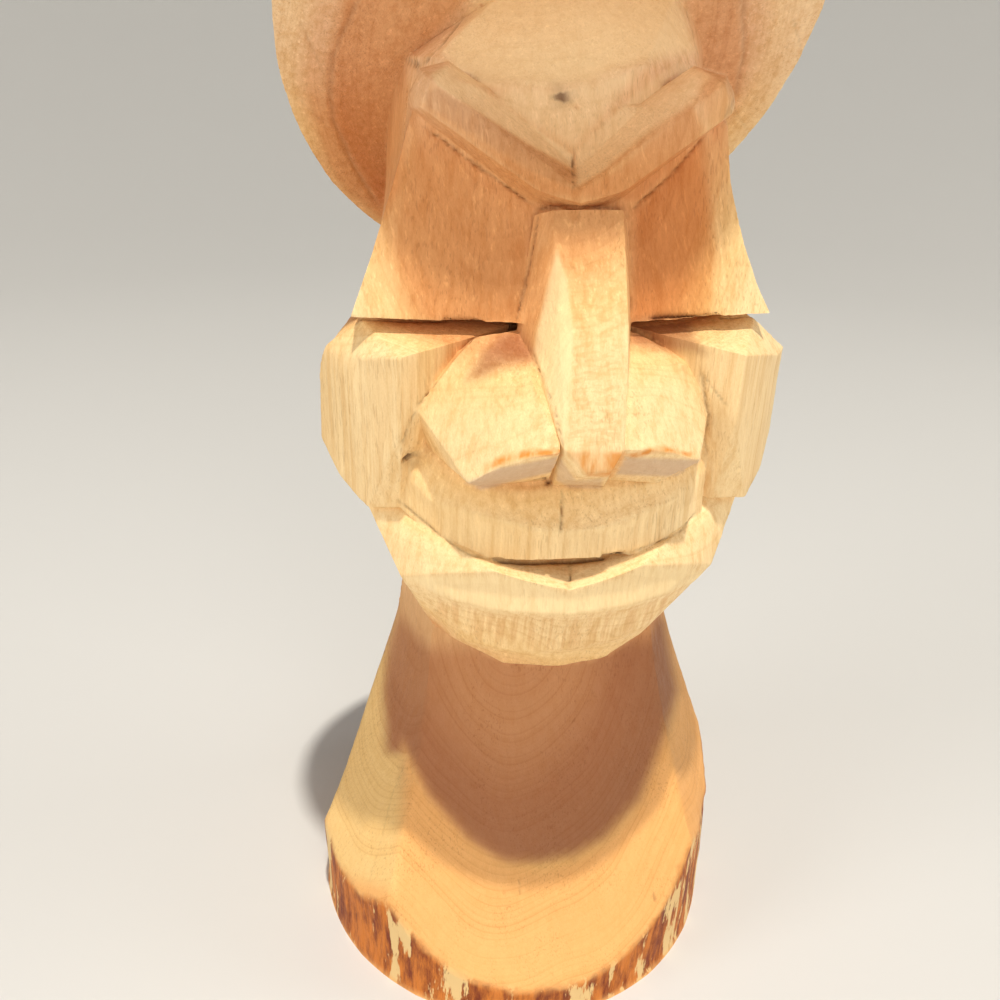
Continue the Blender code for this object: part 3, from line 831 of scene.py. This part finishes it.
def wood():
    s = Shader("whittled_wood")
    where = s.node("TexCoord").outputs["Object"]
    parts = s.node("SeparateXYZ", Vector=where)
    up = parts.outputs[2]
    sideways = s.math("SUBTRACT", parts.outputs[0], PITH[0])
    inward = s.math("SUBTRACT", parts.outputs[1], PITH[1])
    radius = s.math("SQRT", s.math("ADD", s.times(sideways, sideways), s.times(inward, inward)))
    warp = s.noise(where, 18.0, 2.0, 0.5, (1, 1, 0.25))
    bent = s.math("ADD", radius, s.times(s.math("SUBTRACT", warp, 0.5), RING_WANDER))

    share = s.times(bent, 1 / LOG_RADIUS)
    age = s.mix(s.between(up, 0.06, 0.12), s.ramp(share, FOOT_RINGS), s.ramp(share, FACE_RINGS))
    cloud = s.noise(where, 26.0, 4.0, 0.55, (1, 1, 0.45))
    # Painted light on the lit parts of the foot, and the head's painted shadow on it, drawn as sapwood
    # and heartwood.
    age = s.mix(s.field("painted_light_gold"), age, PAINTED_LIGHT_GOLDEN_SAPWOOD)
    age = s.mix(s.field("painted_light_sap"), age, PAINTED_LIGHT_GREEN_SAPWOOD)
    age = s.mix(s.field("painted_shadow_heart"), age, s.ramp(share, PAINTED_SHADOW_HEART_RINGS))
    body = s.shade(s.between(cloud, 0.40, 0.72, 0.0, 0.20), age, CLOUD_TINT)
    # The upper forehead made lighter: paler wood and painted light.
    body = s.mix(s.between(up, 0.222, 0.246, 0.0, 0.55), body, FOREHEAD_PALER_AND_LIT)

    line = s.node("CombineXYZ", X=bent, Z=s.times(up, 0.02)).outputs[0]
    years = s.node("TexNoise", Vector=line, Scale=750.0, Detail=2.0, Roughness=0.6).outputs[0]
    ring = s.between(s.math("FRACT", s.times(bent, 1 / RING_WIDTH)), 0.60, 0.97)
    ring = s.times(ring, s.between(years, 0.38, 0.62, 0.1, 1.0))
    ring = s.times(ring, s.between(up, 0.08, 0.12, 0.34, 0.20))
    body = s.shade(s.between(years, 0.42, 0.62, 0.0, 0.20), body, YEAR_TINT)
    body = s.shade(ring, body, RING_TINT)

    patchy = s.noise(where, 90.0, 2.0, 0.6, (1, 1, 0.4))
    slanted = s.node("Mapping", Vector=where, Rotation=(0.0, 0.22, 0.0)).outputs[0]
    fibre = s.noise(where, 520.0, 5.0, 0.72, (1, 1, 0.035))
    torn = s.noise(slanted, 1250.0, 2.0, 0.6, (1, 1, 0.12))
    speck = s.noise(where, 5200.0, 1.0, 0.5, (1, 1, 0.35))
    pore = s.between(s.noise(where, 2700.0, 0.0, 0.5, (1, 1, 0.10)), 0.63, 0.72)
    pore = s.times(pore, s.between(patchy, 0.38, 0.62, 0.04, 0.28))
    high = s.between(up, 0.09, 0.13, 0.25, 1.0)
    fleck = s.times(high, s.between(share, 0.88, 0.95, 1.0, 0.25))
    body = s.shade(s.times(high, s.between(fibre, 0.44, 0.66, 0.0, 0.48)), body, FIBRE_DARK)
    body = s.shade(s.times(high, s.between(fibre, 0.34, 0.46, 0.6, 0.0)), body, FIBRE_PALE)
    body = s.shade(s.times(fleck, s.between(torn, 0.57, 0.70, 0.0, 0.9)), body, FLECK_PALE)
    body = s.shade(s.times(high, s.between(torn, 0.32, 0.43, 0.15, 0.0)), body, FLECK_DARK)
    body = s.shade(s.between(speck, 0.40, 0.62, 0.0, 0.14), body, SPECK_TINT)
    body = s.shade(pore, body, PORE_TINT)

    # Painted light: facets facing the light made paler, over a paler wood.
    body = s.mix(s.times(s.field("pale"), 0.50), body, PAINTED_LIGHT_PALE)
    wave = s.between(s.noise(where, 900.0, 2.0, 0.6, (0.35, 0.35, 1)), 0.45, 0.62, 0, 0.28)
    body = s.mix(s.times(s.field("ripple"), wave), body, RIPPLE_LINES)
    # Painted shadow of the brim on the pads' tops and the nose top, and painted shade on the left brow.
    body = s.shade(s.times(s.field("painted_shadow_mauve"), 0.90), body, PAINTED_SHADOW_TINT)
    # Painted shade of the brim on the eye planes and brows, and of the head inside the brim.
    body = s.shade(s.times(s.field("painted_shade_amber"), 0.90), body, PAINTED_SHADE_AMBER_TINT)
    shreds = s.between(s.noise(where, 760.0, 2.0, 0.6, (1, 0.12, 0.02)), 0.44, 0.60)
    # Dark streaks on the chin, and painted shade in the left cheek's groove.
    body = s.shade(s.times(s.field("brown_streaks_and_painted_shade"), s.times(shreds, 0.6)), body, STREAK_AND_SHADE_TINT)
    flame = s.between(s.noise(where, 330.0, 3.0, 0.6, (1, 1, 0.3)), 0.36, 0.60, 0.35, 1.0)
    body = s.mix(s.times(s.field("orange"), flame), body, ORANGE_EDGE)
    # Painted shade greys the down-facing undersides of the pads and nose.
    body = s.mix(s.times(s.field("painted_underside_grey"), 0.75), body, PAINTED_UNDERSIDE_GREY)

    flakes = s.noise(where, 150.0, 5.0, 0.65, (1, 1, 0.20))
    streaks = s.noise(where, 260.0, 5.0, 0.7, (1, 1, 0.22))
    inner = s.mix(s.between(streaks, 0.36, 0.66), BARK_LIGHT, BARK_DARK)
    bark = s.mix(s.between(flakes, 0.53, 0.57), inner, BARK_SHED)
    body = s.mix(s.field("bark"), body, bark)
    # Painted shade in grooves, gaps and cracks, and the forehead knot's own dark.
    body = s.mix(s.times(s.field("groove_shade_and_knot"), 0.85), body, GROOVE_SHADE_AND_KNOT_DARK)

    s.feed(s.surface.inputs["Base Color"], body)
    s.feed(s.surface.inputs["Roughness"], s.between(fibre, 0.3, 0.7, 0.55, 0.72))
    s.surface.inputs["Specular IOR Level"].default_value = 0.30
    raised = s.math("SUBTRACT", fibre, s.times(pore, 0.6))
    raised = s.math("ADD", raised, s.math("ADD", s.times(speck, 0.3), torn))
    bump = s.node("Bump", Strength=0.6, Distance=0.0003, Height=raised)
    s.feed(s.surface.inputs["Normal"], bump.outputs[0])
    return s.material


# The studio

FLOOR_COLOUR = (0.68, 0.675, 0.66, 1)
FLOOR_INNER, FLOOR_FLAT = 0.4, 0.8
BACKDROP_BEND = 1.3
BACKDROP_STEPS = 12
FLOOR_SIDES = 64
LAMP_WHITE = (1.0, 0.98, 0.96)
LAMP_SOFT = (1.0, 0.97, 0.93)
LAMP_WARM = (1.0, 0.95, 0.86)
LAMP_AIM = (0, 0, 0.16)


def floor():
    """A pale floor that curves up all round into a backdrop."""
    s = Shader("pale_floor")
    s.surface.inputs["Base Color"].default_value = FLOOR_COLOUR
    s.surface.inputs["Roughness"].default_value = 0.8
    s.surface.inputs["Specular IOR Level"].default_value = 0.1
    data = bmesh.new()
    profile = [(FLOOR_INNER, 0.0), (FLOOR_FLAT, 0.0)]
    for step in range(1, BACKDROP_STEPS + 1):
        turn = math.radians(90) * step / BACKDROP_STEPS
        rise = BACKDROP_BEND * (1 - math.cos(turn))
        profile.append((FLOOR_FLAT + BACKDROP_BEND * math.sin(turn), rise))
    rings = []
    for out, up in profile:
        ring = []
        for index in range(FLOOR_SIDES):
            turn = 2 * math.pi * index / FLOOR_SIDES
            ring.append(data.verts.new((out * math.cos(turn), out * math.sin(turn), up)))
        rings.append(ring)
    data.faces.new(rings[0])
    for low, high in zip(rings, rings[1:]):
        for index in range(FLOOR_SIDES):
            after = (index + 1) % FLOOR_SIDES
            data.faces.new((low[index], high[index], high[after], low[after]))
    mesh = bpy.data.meshes.new("floor")
    data.to_mesh(mesh)
    data.free()
    for face in mesh.polygons:
        face.use_smooth = True
    mesh.materials.append(s.material)
    plane = bpy.data.objects.new("floor", mesh)
    bpy.context.scene.collection.objects.link(plane)
    plane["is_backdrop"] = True


def lamp(name, far, rise, turn, size, power, tint):
    """A round lamp: metres away, degrees up and degrees round to the bust's left, aimed at its middle."""
    middle = Vector(LAMP_AIM)
    rise, turn = math.radians(rise), math.radians(turn)
    way = Vector((math.cos(rise) * math.sin(turn), -math.cos(rise) * math.cos(turn), math.sin(rise)))
    data = bpy.data.lights.new(name, "AREA")
    data.shape = "DISK"
    data.size = size
    data.energy = power
    data.color = tint
    light = bpy.data.objects.new(name, data)
    bpy.context.scene.collection.objects.link(light)
    light.location = middle + way * far
    light.rotation_euler = (-way).to_track_quat("-Z", "Y").to_euler()


def lights():
    lamp("overhead", 2.0, 80.0, 3.0, 0.06, 36.5, LAMP_WARM)
    lamp("high", 1.2, 45.0, 5.0, 0.7, 1.3, LAMP_WHITE)
    lamp("level", 1.2, 12.0, 5.0, 0.8, 2.8, LAMP_WHITE)
    lamp("low", 1.2, -2.0, 5.0, 0.4, 1.0, LAMP_WHITE)
    lamp("left", 1.2, 25.0, -70.0, 0.6, 4.2, LAMP_WHITE)
    lamp("right", 1.2, 25.0, 80.0, 0.6, 2.8, LAMP_SOFT)
    world = bpy.data.worlds.new("studio")
    bpy.context.scene.world = world
    world.use_nodes = True
    world.node_tree.nodes["Background"].inputs[0].default_value = (1.0, 1.0, 1.0, 1.0)
    world.node_tree.nodes["Background"].inputs[1].default_value = 0.03


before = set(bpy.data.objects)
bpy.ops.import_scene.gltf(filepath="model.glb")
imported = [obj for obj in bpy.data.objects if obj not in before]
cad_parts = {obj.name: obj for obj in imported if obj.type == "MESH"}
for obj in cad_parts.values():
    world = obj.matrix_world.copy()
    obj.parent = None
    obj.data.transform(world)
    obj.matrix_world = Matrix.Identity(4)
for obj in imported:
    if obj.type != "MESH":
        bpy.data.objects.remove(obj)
cad_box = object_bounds()
solid_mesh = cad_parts["carved_bust"].data
corner_places = [v.co for v in solid_mesh.vertices]
SOLID = BVHTree.FromPolygons(corner_places, [p.vertices for p in solid_mesh.polygons])
STROKES = [Stroke(*mark) for mark in MARKS]
NAMED_EDGES = [Stroke(pixels, NAMED_REACH, 0, 0) for pixels in NAMED]
WORN_EDGES = [Stroke(pixels, WORN_REACH, 0, 0) for pixels in WORN]
RAISED = [Stroke(pixels, reach, height, 0) for pixels, reach, height in RIDGES]
cuts = flat_cuts(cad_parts["carved_bust"])
line_places = [Vector(place) for line in STROKES + RAISED for place in line.places]
FINE_LINES = lookup_of(edge_places(cuts) + line_places)
add_camera()
bust = build_bust(cuts)
bust.data.materials.append(wood())
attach(bust, "root")
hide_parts("carved_bust")
floor()
lights()
bpy.context.scene.view_settings.view_transform = "Standard"
